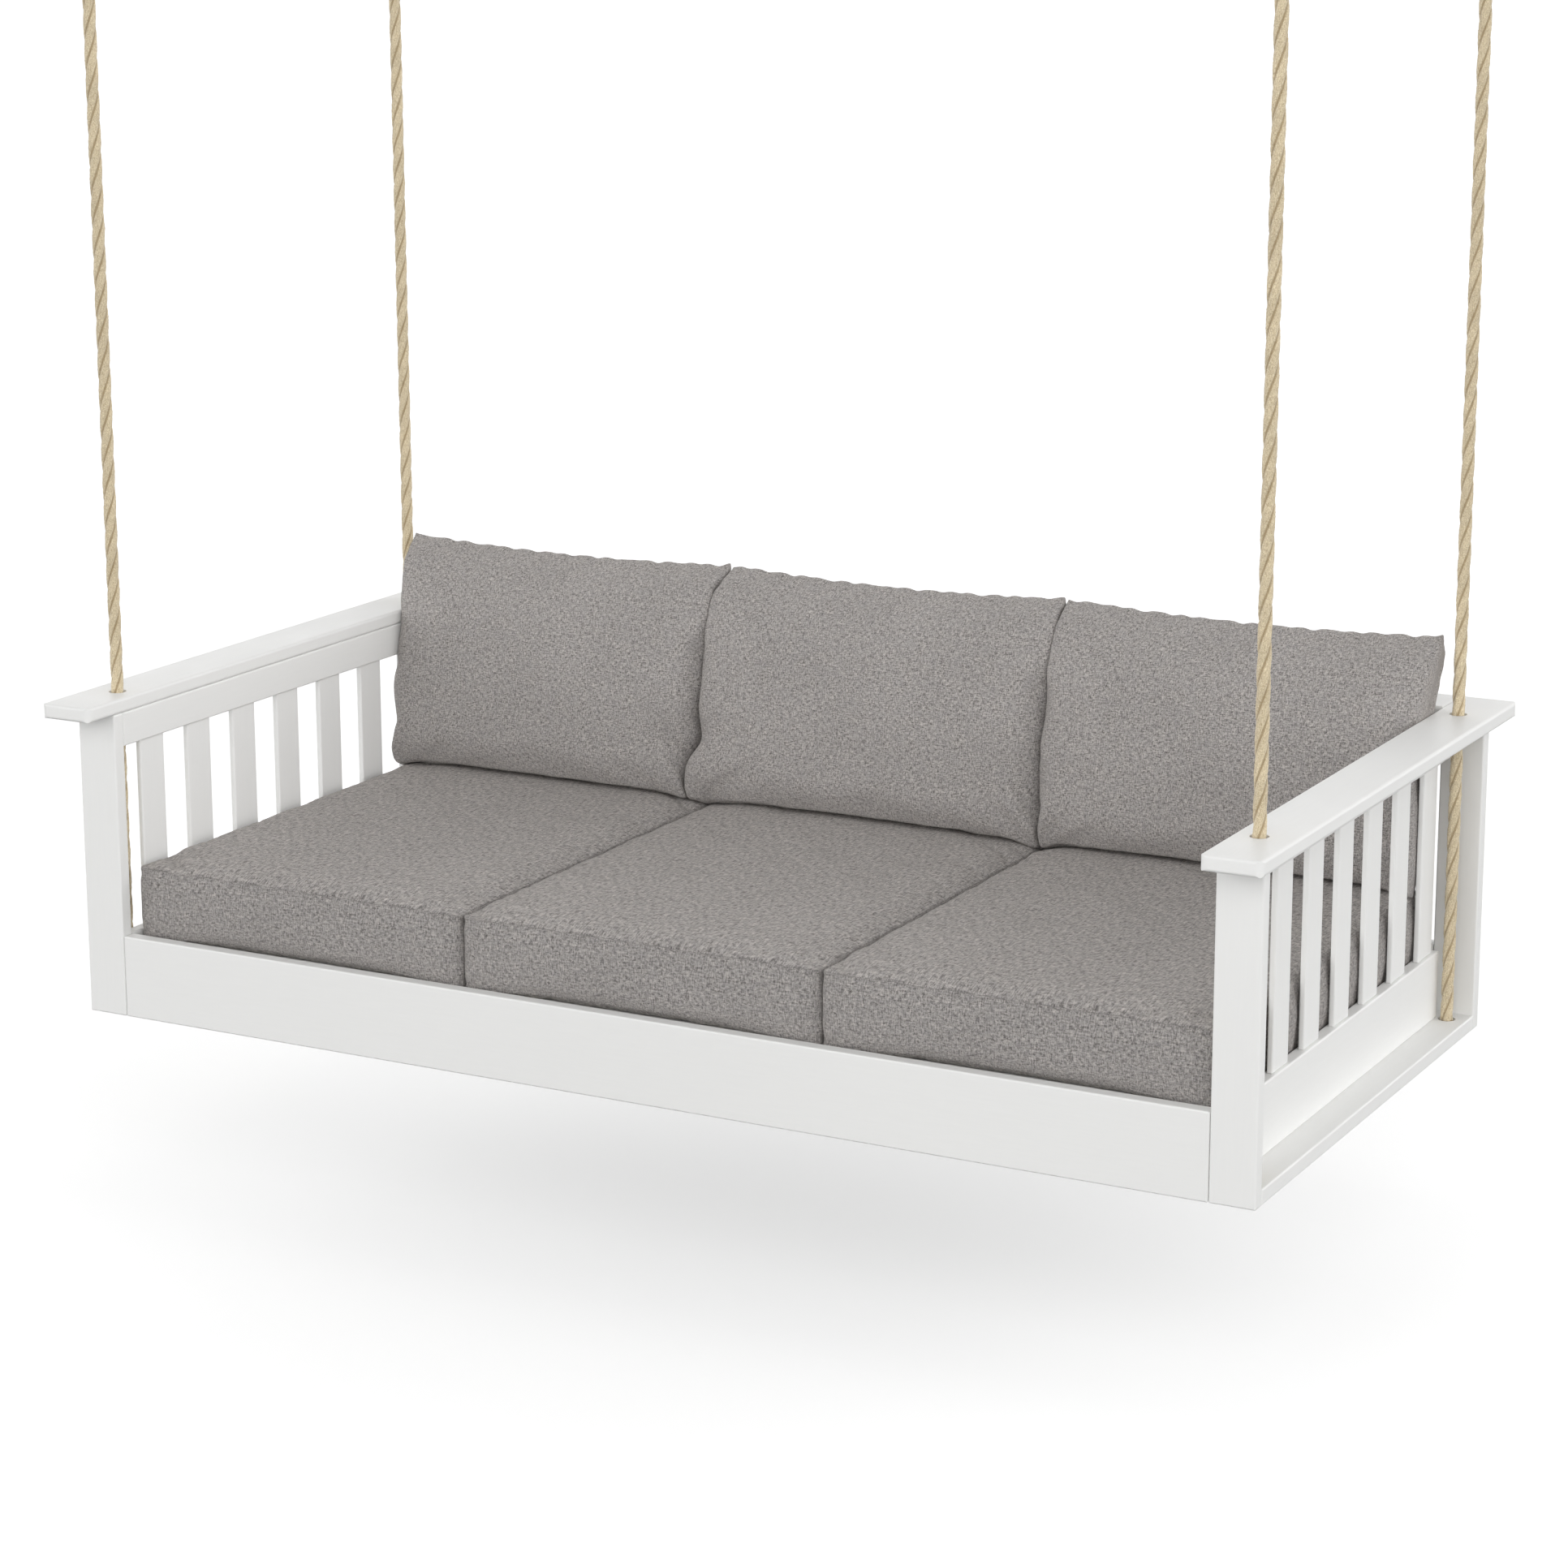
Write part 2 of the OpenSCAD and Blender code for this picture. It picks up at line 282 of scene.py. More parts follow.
def ripple(s, period, seed):
    """Smooth waves of about that period along s, from -1 to 1, that never quite repeat."""
    phases = np.random.default_rng(seed).uniform(0, 2 * math.pi, 4)
    shares = ((1.0, 0.40), (1.43, 0.25), (0.71, 0.20), (2.3, 0.15))
    return sum(
        share * np.sin(2 * math.pi * s / (period * stretch) + phase)
        for (stretch, share), phase in zip(shares, phases)
    )


def valleys(s, period, seed, sharp=2.0):
    """Narrow dips along s, from 0 to 1, about a period apart."""
    return np.clip(0.5 + 0.9 * ripple(s, period, seed), 0, 1) ** sharp


# Tubes --------------------------------------------------------------------


def path_frames(centres):
    """Tangent and two cross directions at each point of a path, with no sudden turns."""
    centres = np.asarray(centres, float)
    tangents = np.gradient(centres, axis=0)
    tangents /= np.linalg.norm(tangents, axis=1)[:, None]
    first = np.cross(tangents[0], (1, 0, 0))
    if np.linalg.norm(first) < 0.1:
        first = np.cross(tangents[0], (0, 1, 0))
    across = [first / np.linalg.norm(first)]
    for tangent in tangents[1:]:
        side = across[-1] - tangent * np.dot(across[-1], tangent)
        across.append(side / np.linalg.norm(side))
    across = np.array(across)
    return tangents, across, np.cross(tangents, across)


def tube(name, centres, outline, sides):
    """A closed tube along a path. outline(angle, length) gives the radius at each point, and
    the cloth UV holds the share of the way round and the length along the tube."""
    centres = np.asarray(centres, float)
    _, side, up = path_frames(centres)
    steps = np.linalg.norm(np.diff(centres, axis=0), axis=1)
    length = np.concatenate([[0], np.cumsum(steps)])
    angle = np.arange(sides) * 2 * math.pi / sides
    radius = outline(angle[None, :], length[:, None])
    points = (
        centres[:, None, :]
        + (radius * np.cos(angle))[..., None] * side[:, None, :]
        + (radius * np.sin(angle))[..., None] * up[:, None, :]
    ).reshape(-1, 3)
    faces, uvs = [], []
    for ring in range(len(centres) - 1):
        for k in range(sides):
            a, b = ring * sides + k, ring * sides + (k + 1) % sides
            faces.append((a, b, b + sides, a + sides))
            low, high = length[ring], length[ring + 1]
            uvs += [(k / sides, low), ((k + 1) / sides, low)]
            uvs += [((k + 1) / sides, high), (k / sides, high)]
    for ring, order in ((0, -1), (len(centres) - 1, 1)):
        faces.append([ring * sides + k for k in range(sides)][::order])
        uvs += [(k / sides, length[ring]) for k in range(sides)]
    return make_object(name, points, faces, uvs)


def strand_outline(angle, length):
    """Radius of a three-strand rope: three round strands, with narrow grooves between them."""
    turn = 3 * (angle - 2 * math.pi * length / ROPE_LAY)
    groove = np.exp(3.2 * (np.cos(turn) - 1))
    swell = 0.35 * MM * np.cos(turn + math.pi)
    yarns = 0.15 * MM * np.sin(17 * angle + 90 * length / ROPE_D)
    fuzz = np.random.default_rng(7).normal(0, ROPE_FUZZ, turn.shape)
    return ROPE_D / 2 - GROOVE_DEPTH * groove + swell + yarns + fuzz


# Stage --------------------------------------------------------------------


def make_camera():
    """The photograph's camera, from its fitted place and lens."""
    data = bpy.data.cameras.new("camera")
    data.sensor_width = 36
    data.lens = LENS
    data.shift_x, data.shift_y = SHIFT
    data.clip_end = 200
    camera = bpy.data.objects.new("camera", data)
    camera.location = CAMERA_AT
    camera.rotation_euler = (math.radians(90 - CAMERA_DOWN), 0, math.radians(CAMERA_YAW))
    bpy.context.scene.collection.objects.link(camera)
    bpy.context.scene.camera = camera


def make_key_light():
    """One large soft lamp, up on the right and in front."""
    data = bpy.data.lights.new("key", "AREA")
    data.shape = "DISK"
    data.size = KEY_SIZE
    data.energy = KEY_POWER
    light = bpy.data.objects.new("key", data)
    light.location = KEY_AT
    aim = Vector(KEY_AIM) - Vector(KEY_AT)
    light.rotation_euler = aim.to_track_quat("-Z", "Y").to_euler()
    bpy.context.scene.collection.objects.link(light)


def make_world():
    """A studio dome: bright all round and dim overhead, and a little brighter on the right."""
    world = bpy.data.worlds.new("studio")
    world.use_nodes = True
    nodes, links = world.node_tree.nodes, world.node_tree.links
    place = nodes.new("ShaderNodeTexCoord")
    parts = nodes.new("ShaderNodeSeparateXYZ")
    links.new(place.outputs["Generated"], parts.inputs[0])
    height = nodes.new("ShaderNodeMapRange")
    height.interpolation_type = "SMOOTHSTEP"
    links.new(parts.outputs["Z"], height.inputs["Value"])
    height.inputs["From Min"].default_value = SKY_HEIGHTS[0]
    height.inputs["From Max"].default_value = SKY_HEIGHTS[1]
    height.inputs["To Min"].default_value = SKY_SIDES
    height.inputs["To Max"].default_value = SKY_TOP
    across = nodes.new("ShaderNodeMath")
    across.operation = "MULTIPLY_ADD"
    links.new(parts.outputs["X"], across.inputs[0])
    across.inputs[1].default_value = SKY_RIGHT
    across.inputs[2].default_value = 1
    strength = nodes.new("ShaderNodeMath")
    strength.operation = "MULTIPLY"
    links.new(height.outputs[0], strength.inputs[0])
    links.new(across.outputs[0], strength.inputs[1])
    links.new(strength.outputs[0], nodes["Background"].inputs["Strength"])
    nodes["Background"].inputs["Color"].default_value = (1, 1, 1, 1)
    bpy.context.scene.world = world
    bpy.context.scene.view_settings.view_transform = "Standard"


def make_floor(height):
    """A plain pale floor, which gives a little light of its own so that shadows stay soft."""
    half = FLOOR_SIZE / 2
    corners = [(x * half, y * half, height) for x, y in ((-1, -1), (1, -1), (1, 1), (-1, 1))]
    floor = make_object("floor", corners, [(0, 1, 2, 3)])
    paint = Shader("floor_paint")
    seen = paint.add("LightPath", {}, "Is Camera Ray")
    paint.set(Base_Color=paint.tint(FLOOR_WHITE, paint.ramp(seen, 0, 1, FLOOR_BOUNCE, 1)))
    paint.set(Roughness=1.0, Specular_IOR_Level=0.0, Emission_Color=(1, 1, 1, 1))
    paint.set(Emission_Strength=paint.math("MULTIPLY", seen, FLOOR_GLOW))
    floor.data.materials.append(paint.material)


# Materials ----------------------------------------------------------------


class Shader:
    """A material's node tree: each call adds a node and returns what comes out of it."""

    def __init__(self, name):
        self.material = bpy.data.materials.new(name)
        self.material.use_nodes = True
        self.tree = self.material.node_tree
        self.surface = self.tree.nodes["Principled BSDF"]

    def plug(self, socket, value):
        """Links an output to a socket, or sets the socket's own value."""
        if isinstance(value, bpy.types.NodeSocket):
            self.tree.links.new(value, socket)
        else:
            socket.default_value = value

    def set(self, **values):
        """Sets or links the surface's own sockets, with _ for a space in a name."""
        for name, value in values.items():
            self.plug(self.surface.inputs[name.replace("_", " ")], value)

    def add(self, kind, inputs, output=0, **settings):
        """Adds a node of that kind, and returns one of its outputs."""
        node = self.tree.nodes.new("ShaderNode" + kind)
        for name, value in settings.items():
            setattr(node, name, value)
        for name, value in inputs.items():
            self.plug(node.inputs[name], value)
        return node.outputs[output]

    def math(self, operation, *values):
        """The result of one sum on numbers."""
        inputs = dict(enumerate(values))
        return self.add("Math", inputs, operation=operation)

    def vector(self, x, y, z=0.0):
        """A vector made of three numbers."""
        return self.add("CombineXYZ", {"X": x, "Y": y, "Z": z})

    def noise(self, vector, scale, detail=2.0, roughness=0.5):
        """Smooth noise, from 0 to 1."""
        inputs = {"Vector": vector, "Scale": scale, "Detail": detail, "Roughness": roughness}
        return self.add("TexNoise", inputs, "Fac")

    def ramp(self, value, low, high, start=0.0, end=1.0):
        """From start at low to end at high, and level outside them."""
        inputs = {"Value": value, "From Min": low, "From Max": high}
        inputs.update({"To Min": start, "To Max": end})
        return self.add("MapRange", inputs)

    def mix(self, share, a, b):
        """A colour between a, at a share of 0, and b, at a share of 1."""
        inputs = {"Factor": share, 6: a, 7: b}
        return self.add("Mix", inputs, 2, data_type="RGBA")

    def tint(self, colour, factor):
        """A colour times a number."""
        grey = self.add("CombineColor", {"Red": factor, "Green": factor, "Blue": factor})
        inputs = {"Factor": 1.0, 6: colour, 7: grey}
        return self.add("Mix", inputs, 2, data_type="RGBA", blend_type="MULTIPLY")

    def uv(self):
        """The cloth UV's two parts, in metres."""
        layer = self.add("UVMap", {}, uv_map="cloth")
        parts = self.tree.nodes.new("ShaderNodeSeparateXYZ")
        self.plug(parts.inputs[0], layer)
        return parts.outputs["X"], parts.outputs["Y"]

    def bump(self, height, distance, strength=1.0):
        """A surface direction that a map of heights tips."""
        inputs = {"Height": height, "Distance": distance, "Strength": strength}
        return self.add("Bump", inputs)


def lumber(name, axis):
    """Satin white lumber, with faint grain that runs along one axis."""
    paint = Shader(name)
    place = paint.add("TexCoord", {}, "Object")
    stretch = [38.0, 38.0, 38.0]
    stretch[axis] = 2.2
    grain = paint.add("VectorMath", {0: place, 1: stretch}, operation="MULTIPLY")
    fine = paint.noise(grain, 6.0, 6.0, 0.6)
    broad = paint.noise(place, 1.7, 2.0)
    smudge = paint.noise(place, 14.0, 4.0)
    tone = paint.ramp(fine, 0.3, 0.7, 0.985, 1.0)
    tone = paint.math("MULTIPLY", tone, paint.ramp(broad, 0.3, 0.7, 0.985, 1.0))
    white = paint.tint(LUMBER_WHITE, tone)
    paint.set(Base_Color=white, Roughness=paint.ramp(smudge, 0.3, 0.7, 0.42, 0.52))
    paint.set(Normal=paint.bump(fine, 0.12 * MM, 0.5), Specular_IOR_Level=0.25)
    return paint.material


def steel(name):
    """Satin stainless steel, with fine brush marks."""
    metal = Shader(name)
    place = metal.add("TexCoord", {}, "Object")
    marks = metal.add("VectorMath", {0: place, 1: (60, 60, 900)}, operation="MULTIPLY")
    brushed = metal.noise(marks, 1.0, 5.0)
    stain = metal.noise(place, 60.0, 3.0)
    metal.set(Base_Color=metal.tint(STEEL_GREY, metal.ramp(stain, 0.3, 0.7, 0.9, 1)))
    metal.set(Metallic=1.0, Roughness=metal.ramp(brushed, 0.3, 0.7, 0.24, 0.4))
    metal.set(Normal=metal.bump(brushed, 0.05 * MM))
    return metal.material


def rope_fibre(name):
    """Tan laid rope: fine yarns, loose fibres, and painted shade that darkens the grooves
    between the strands towards brown.
    """
    fibre = Shader(name)
    around, along = fibre.uv()
    twist = fibre.math("SUBTRACT", around, fibre.math("DIVIDE", along, ROPE_LAY))
    lobe = fibre.math("COSINE", fibre.math("MULTIPLY", twist, 6 * math.pi))
    groove = fibre.ramp(lobe, 0.62, 1.0)
    yarn_turn = fibre.math("MULTIPLY", around, 2 * math.pi * 22)
    yarn_turn = fibre.math("ADD", yarn_turn, fibre.math("MULTIPLY", along, 420.0))
    yarn = fibre.math("SINE", yarn_turn)
    place = fibre.add("TexCoord", {}, "Object")
    grain = fibre.noise(place, 620.0, 3.0, 0.75)
    hair_across = fibre.math("MULTIPLY", around, 44.0)
    hair_along = fibre.math("MULTIPLY", along, 160.0)
    hair = fibre.noise(fibre.vector(hair_across, hair_along), 1.0, 4.0, 0.7)
    fleck = fibre.math("MULTIPLY", grain, 0.6)
    fleck = fibre.math("ADD", fleck, fibre.math("MULTIPLY", hair, 0.4))
    blotch = fibre.noise(place, 26.0, 3.0)
    tan = fibre.mix(fibre.ramp(fleck, 0.38, 0.62), FIBRE_DARK, FIBRE_LIGHT)
    tan = fibre.tint(tan, fibre.ramp(blotch, 0.3, 0.7, 0.9, 1.05))
    # Painted shade: the grooves between the strands are darkened towards brown
    tan = fibre.mix(fibre.math("MULTIPLY", groove, 0.7), tan, GROOVE_SHADE_BROWN)
    height = fibre.math("ADD", fibre.math("MULTIPLY", yarn, 0.35), fleck)
    fibre.set(Base_Color=tan, Roughness=fibre.ramp(grain, 0.3, 0.7, 0.8, 0.95))
    fibre.set(Specular_IOR_Level=0.15, Sheen_Weight=0.3, Sheen_Roughness=0.6)
    fibre.set(Normal=fibre.bump(height, 0.7 * MM))
    return fibre.material


def yarn_tone(cloth, count, along, seed):
    """The tone of each numbered yarn, which drifts along it."""
    number = cloth.math("MULTIPLY", count, 7.31)
    length = cloth.math("MULTIPLY", along, 150.0)
    return cloth.noise(cloth.vector(number, length, seed), 1.0, 2.0, 0.6)


def streaks(cloth, u, v, per_u, per_v, seed):
    """Soft streaks in the cloth, with so many to a metre each way."""
    spot = cloth.vector(cloth.math("MULTIPLY", u, per_u), cloth.math("MULTIPLY", v, per_v), seed)
    return cloth.noise(spot, 1.0, 2.0, 0.6)


def stitches(cloth):
    """Painted shade in the seam line and in the needle holes of a row of stitches beside it,
    from 0 to 1.
    """
    seam = cloth.add("Attribute", {}, "Fac", attribute_name="seam")
    along = cloth.add("Attribute", {}, "Fac", attribute_name="along")
    line = cloth.ramp(seam, 0.5 * MM, 2.0 * MM, 1.0, 0.0)
    off = cloth.math("ABSOLUTE", cloth.math("SUBTRACT", seam, STITCH_SET))
    row = cloth.ramp(off, 0.5 * MM, 1.3 * MM, 1.0, 0.0)
    wave = cloth.math("COSINE", cloth.math("MULTIPLY", along, 2 * math.pi / STITCH_STEP))
    dots = cloth.math("MULTIPLY", row, cloth.ramp(wave, -0.2, 0.5))
    # Painted shade in the seam groove and in the stitches' needle holes
    seam_shade = cloth.math("MULTIPLY", line, SEAM_SHADE)
    hole_shade = cloth.math("MULTIPLY", dots, STITCH_HOLE_SHADE)
    return cloth.math("MAXIMUM", seam_shade, hole_shade)


def tweed(name, stretch, contrast):
    """Grey tweed in a 2/2 twill. Its slubs are that much longer across the weft."""
    cloth = Shader(name)
    u, v = cloth.uv()
    warp = cloth.math("DIVIDE", u, YARN_PITCH)
    weft = cloth.math("DIVIDE", v, YARN_PITCH)
    warp_count = cloth.math("FLOOR", warp)
    weft_count = cloth.math("FLOOR", weft)
    step = cloth.math("ADD", warp_count, weft_count)
    warp_on_top = cloth.math("LESS_THAN", cloth.math("FLOORED_MODULO", step, 4.0), 1.5)
    warp_tone = yarn_tone(cloth, warp_count, v, 3.0)
    weft_tone = yarn_tone(cloth, weft_count, u, 11.0)
    tone = cloth.add("Mix", {"Factor": warp_on_top, 2: weft_tone, 3: warp_tone}, 0)
    slub = streaks(cloth, u, v, 130.0, 460.0 / stretch, 0.0)
    nep = streaks(cloth, u, v, 460.0, 150.0 / stretch, 5.0)
    tone = cloth.math("ADD", tone, cloth.math("MULTIPLY", cloth.math("ADD", slub, nep), 0.9))
    share = cloth.ramp(tone, 1.4 - contrast, 1.4 + contrast)
    grey = cloth.mix(share, YARN_DARK, YARN_LIGHT)
    cool = streaks(cloth, u, v, 45.0, 45.0, 2.0)
    grey = cloth.mix(cloth.ramp(cool, 0.35, 0.65, 0.0, 0.25), grey, YARN_COOL)
    broad = streaks(cloth, u, v, 7.0, 7.0, 8.0)
    grey = cloth.tint(grey, cloth.ramp(broad, 0.3, 0.7, 0.96, 1.04))
    # Painted shade darkens the cloth along the seam line and at the stitch holes
    grey = cloth.tint(grey, cloth.math("SUBTRACT", 1.0, stitches(cloth)))
    warp_round = cloth.math("SINE", cloth.math("MULTIPLY", cloth.math("FRACT", warp), math.pi))
    weft_round = cloth.math("SINE", cloth.math("MULTIPLY", cloth.math("FRACT", weft), math.pi))
    height = cloth.add("Mix", {"Factor": warp_on_top, 2: weft_round, 3: warp_round}, 0)
    height = cloth.math("ADD", height, cloth.math("MULTIPLY", slub, 0.8))
    cloth.set(Base_Color=grey, Roughness=cloth.ramp(nep, 0.3, 0.7, 0.9, 1.0))
    cloth.set(Specular_IOR_Level=0.15)
    cloth.set(Sheen_Weight=0.3, Sheen_Roughness=0.5, Sheen_Tint=SHEEN_TINT)
    cloth.set(Normal=cloth.bump(height, 0.35 * MM, 0.8))
    return cloth.material


def dress_frame(frame):
    """Gives every CAD node that stays in view its material."""
    boards = [lumber(f"lumber_{axis}", k) for k, axis in enumerate("xyz")]
    metal = steel("steel")
    slots = {part["node"]: part["material_slot"] for part in frame["record"]["subparts"]}
    for name, obj in frame["nodes"].items():
        low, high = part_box(name)
        size = high - low
        longest = max(range(3), key=lambda k: size[k])
        material = boards[longest] if slots[name] == "lumber" else metal
        if name == "back_slats":
            material = boards[2]
        for slot in obj.material_slots:
            slot.material = material


# Ropes --------------------------------------------------------------------


def arc_path(middle, radius, start, end, steps):
    """Points on an arc in the YZ plane, from one angle to another, in degrees from +Y."""
    angles = np.radians(np.linspace(start, end, steps))
    x, y, z = middle
    return [(x, y + radius * math.cos(a), z + radius * math.sin(a)) for a in angles]


def loop_path(x, y, z):
    """The rope's eye: up from the throat, over the thimble and down to the throat again."""
    throat = z - THROAT_DROP
    lean = math.atan((LOOP_R - THROAT_HALF) / THROAT_DROP)
    past = math.degrees(lean) * 0.5
    start = [(x, y + THROAT_HALF, throat - THROAT_FOOT), (x, y + THROAT_HALF, throat)]
    crown = arc_path((x, y, z), LOOP_R, -past, 180 + past, 40)
    tail = [(x, y - THROAT_HALF, throat), (x, y - THROAT_HALF, throat - THROAT_FOOT)]
    return even_path(start + crown + tail, ROPE_STEP)


def even_path(points, step):
    """The same path with its points a step apart, rounded a little at its corners."""
    points = np.asarray(points, float)
    gaps = np.linalg.norm(np.diff(points, axis=0), axis=1)
    length = np.concatenate([[0], np.cumsum(gaps)])
    spots = np.linspace(0, length[-1], max(3, round(length[-1] / step) + 1))
    even = np.stack([np.interp(spots, length, points[:, k]) for k in range(3)], axis=1)
    for _ in range(3):
        even[1:-1] = (even[:-2] + 2 * even[1:-1] + even[2:]) / 4
    return even


def splice_outline(angle, length):
    """The splice: strands tucked back over and under each other, tapered to the rope."""
    share = np.clip(length / SPLICE_L, 0, 1)
    radius = SPLICE_R + (ROPE_D / 2 - SPLICE_R) * share + 0.3 * MM
    turn = 2 * math.pi * length / SPLICE_TUCK
    tucks = np.cos(3 * angle - turn) * np.cos(3 * angle + turn)
    return radius + 1.1 * MM * (1 - 0.6 * share) * tucks


def knot_strand(x, y, top, start):
    """One strand of the wall and crown knot: out, once round in two layers, and in below."""
    share = np.linspace(0, 1, 60)
    turn = start + np.radians(20 + 390 * share)
    out = smooth_step(share, 0.0, 0.16) - smooth_step(share, 0.70, 1.0) * 0.62
    radius = KNOT_CORE + (KNOT_RING - KNOT_CORE) * out
    drop = KNOT_DROPS[0] + KNOT_DROPS[1] * smooth_step(share, 0.22, 0.42)
    drop = drop + KNOT_DROPS[2] * smooth_step(share, 0.58, 0.80)
    return np.stack([x + radius * np.cos(turn), y + radius * np.sin(turn), top - drop], axis=1)


def knot_outline(angle, length):
    """Radius of one strand of the knot, with its yarns."""
    return KNOT_STRAND_R + 0.15 * MM * np.sin(7 * angle + 700 * length)


def make_knot(name, x, y, top):
    """The three strands of a knot, as one object that hangs from a height."""
    strands = []
    for k in range(3):
        route = knot_strand(x, y, top, k * 2 * math.pi / 3)
        strands.append(tube(f"{name}_{k}", route, knot_outline, 20))
    return join(name, strands)


def join(name, objects):
    """Joins separate meshes into one object, and keeps their cloth UV."""
    points, faces, uvs, offset = [], [], [], 0
    for obj in objects:
        mesh = obj.data
        points += [tuple(v.co) for v in mesh.vertices]
        faces += [tuple(offset + i for i in p.vertices) for p in mesh.polygons]
        uvs += [tuple(corner.uv) for corner in mesh.uv_layers["cloth"].data]
        offset += len(mesh.vertices)
        bpy.data.objects.remove(obj)
    return make_object(name, points, faces, uvs)


def make_rope(end, side, fibre):
    """One rope from its eye to its knot, with the pieces on it."""
    tag = f"{end}_{side}"
    low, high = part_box(f"rope_{tag}")
    x = (low.x + high.x) / 2
    y = (low.y + high.y) / 2
    loop_z = high.z - LOOP_R - ROPE_D / 2
    throat = loop_z - THROAT_DROP
    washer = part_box("knot_washers")[0].z
    top = throat - SPLICE_L * 0.2
    end_z = washer - 4 * MM
    count = round((top - end_z) / ROPE_STEP) + 1
    route = [(x, y, z) for z in np.linspace(top, end_z, count)]
    rope = tube(f"laid_rope_{tag}", route, strand_outline, ROPE_SIDES)
    splice_route = [(x, y, z) for z in np.linspace(throat + 6 * MM, throat - SPLICE_L, 60)]
    splice = tube(f"eye_splice_{tag}", splice_route, splice_outline, EYE_SIDES)
    loop = tube(f"eye_loop_{tag}", loop_path(x, y, loop_z), strand_outline, EYE_SIDES)
    knot = make_knot(f"wall_knot_{tag}", x, y, washer)
    for piece in (rope, splice, loop, knot):
        piece.data.materials.append(fibre)
    body = f"{end}_ropes"
    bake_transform(rope)
    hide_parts(f"rope_{tag}", f"rope_end_{tag}")
    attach(splice, body)
    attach(loop, body)
    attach(knot, "frame")


# Cushions -----------------------------------------------------------------


def inflate(obj, cap, pinned):
    """Swells a closed cloth shape with air. Its seams stay in place, the cloth is 2% larger
    than its shape, and no point moves farther than cap."""
    rest = get_points(obj)
    group = obj.vertex_groups.new(name="seams")
    group.add([int(i) for i in np.flatnonzero(pinned)], 1.0, "REPLACE")
    cloth = obj.modifiers.new("cloth", "CLOTH")
    settings = cloth.settings
    settings.quality = 6
    settings.mass = 0.3
    settings.tension_stiffness = 15
    settings.compression_stiffness = 15
    settings.shear_stiffness = 5
    settings.bending_stiffness = 0.3
    settings.effector_weights.gravity = 0
    settings.use_pressure = True
    settings.uniform_pressure_force = PRESSURE
    settings.shrink_min = -0.02
    settings.vertex_group_mass = group.name
    cloth.point_cache.frame_start = 1
    cloth.point_cache.frame_end = SIM_FRAMES
    scene = bpy.context.scene
    scene.frame_start = 1
    scene.frame_end = SIM_FRAMES
    for frame in range(1, SIM_FRAMES + 1):
        scene.frame_set(frame)
    bake_modifiers(obj)
    scene.frame_set(1)
    moved = get_points(obj) - rest
    distance = np.linalg.norm(moved, axis=1)
    limit = cap * np.tanh(distance / cap) / np.maximum(distance, 1e-9)
    set_points(obj, rest + moved * limit[:, None])


def cell_edges(half):
    """Grid lines from -half to half: even ones, and closer ones beside the seams."""
    start = half - SEAM_ROWS[-1]
    count = max(2, round(2 * start / SEAT_CELL))
    inner = np.linspace(-start, start, count + 1)
    outer = half - np.array(SEAM_ROWS[:-1])
    return np.concatenate([-outer, inner, outer[::-1]])


def box_faces(nx, ny, nz):
    """The outer quads of a grid of nx by ny by nz cells, as grid indices, with which panel
    each is on: 0 and 1 across X, 2 and 3 across Y, 4 and 5 across Z."""
    counts = (nx, ny, nz)
    quads, panels = [], []
    for axis in range(3):
        b, c = (axis + 1) % 3, (axis + 2) % 3
        for side in (0, 1):
            for i in range(counts[b]):
                for j in range(counts[c]):
                    corners = []
                    for di, dj in ((0, 0), (1, 0), (1, 1), (0, 1)):
                        spot = [0, 0, 0]
                        spot[axis] = side * counts[axis]
                        spot[b], spot[c] = i + di, j + dj
                        corners.append(tuple(spot))
                    quads.append(corners if side else corners[::-1])
                    panels.append(2 * axis + side)
    return quads, panels


def panel_uv(panel, x, y, z):
    """Where a point is on its own flat panel of cloth, in metres. The boxing strip is cut so
    that its slubs are short from top to bottom."""
    if panel < 2:
        return y + 3 + panel, z * BOXING_CUT
    if panel < 4:
        return x + panel, z * BOXING_CUT
    return x, y + panel


def box_mesh(name, xs, ys, zs):
    """A closed box of quads on the given grid lines, with a flat cloth UV for each panel."""
    quads, panels = box_faces(len(xs) - 1, len(ys) - 1, len(zs) - 1)
    numbers, points, faces, uvs = {}, [], [], []
    for corners, panel in zip(quads, panels):
        face = []
        for spot in corners:
            if spot not in numbers:
                numbers[spot] = len(points)
                points.append((xs[spot[0]], ys[spot[1]], zs[spot[2]]))
            face.append(numbers[spot])
            uvs.append(panel_uv(panel, *points[numbers[spot]]))
        faces.append(face)
    return make_object(name, points, faces, uvs)


def round_corners(points, half_x, half_y, radius):
    """Moves points of a rectangle, centred on the origin, to one with round corners."""
    x, y = points[:, 0], points[:, 1]
    p = np.clip((np.abs(x) - (half_x - radius)) / radius, 0, None)
    q = np.clip((np.abs(y) - (half_y - radius)) / radius, 0, None)
    new_x = np.minimum(np.abs(x), half_x - radius) + radius * p * np.sqrt(1 - q**2 / 2)
    new_y = np.minimum(np.abs(y), half_y - radius) + radius * q * np.sqrt(1 - p**2 / 2)
    return np.stack([np.sign(x) * new_x, np.sign(y) * new_y, points[:, 2]], axis=1)


